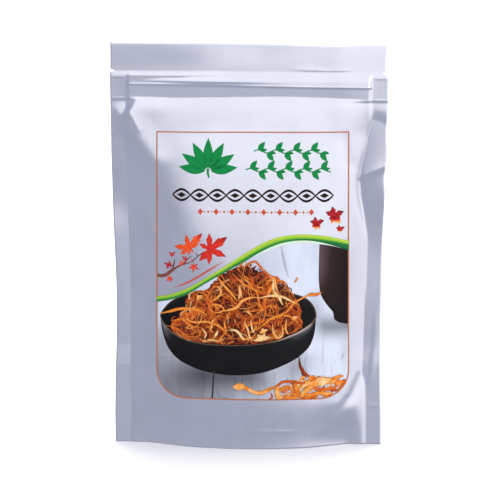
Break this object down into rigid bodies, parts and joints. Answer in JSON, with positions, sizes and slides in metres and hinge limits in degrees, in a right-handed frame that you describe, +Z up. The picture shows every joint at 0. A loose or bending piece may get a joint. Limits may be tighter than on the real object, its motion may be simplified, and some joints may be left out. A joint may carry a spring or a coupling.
{
  "type": "foil stand-up pouch",
  "caption": "Closed silver foil stand-up pouch with a press-to-close zip, tear notches, heat-sealed sides and a folded bottom gusset, full and standing upright.",
  "frame": {"origin": "middle of the open base, on the surface that the pouch stands on", "axes": "+X across the pouch to the viewer's right, -Y out of the printed front, +Z up towards the sealed top edge"},
  "size_m": [0.16, 0.0366, 0.236],
  "materials": {
    "printed_foil": "satin",
    "plain_foil": "satin",
    "zip_plastic": "satin",
    "dried_strands": "matte"
  },
  "bodies": {
    "root": {"front_panel": "printed_foil", "back_panel": "plain_foil", "bottom_gusset": "plain_foil", "zip_ridge_strip": "zip_plastic", "zip_groove_strip": "zip_plastic", "dried_filling": "dried_strands"}
  },
  "joints": []
}
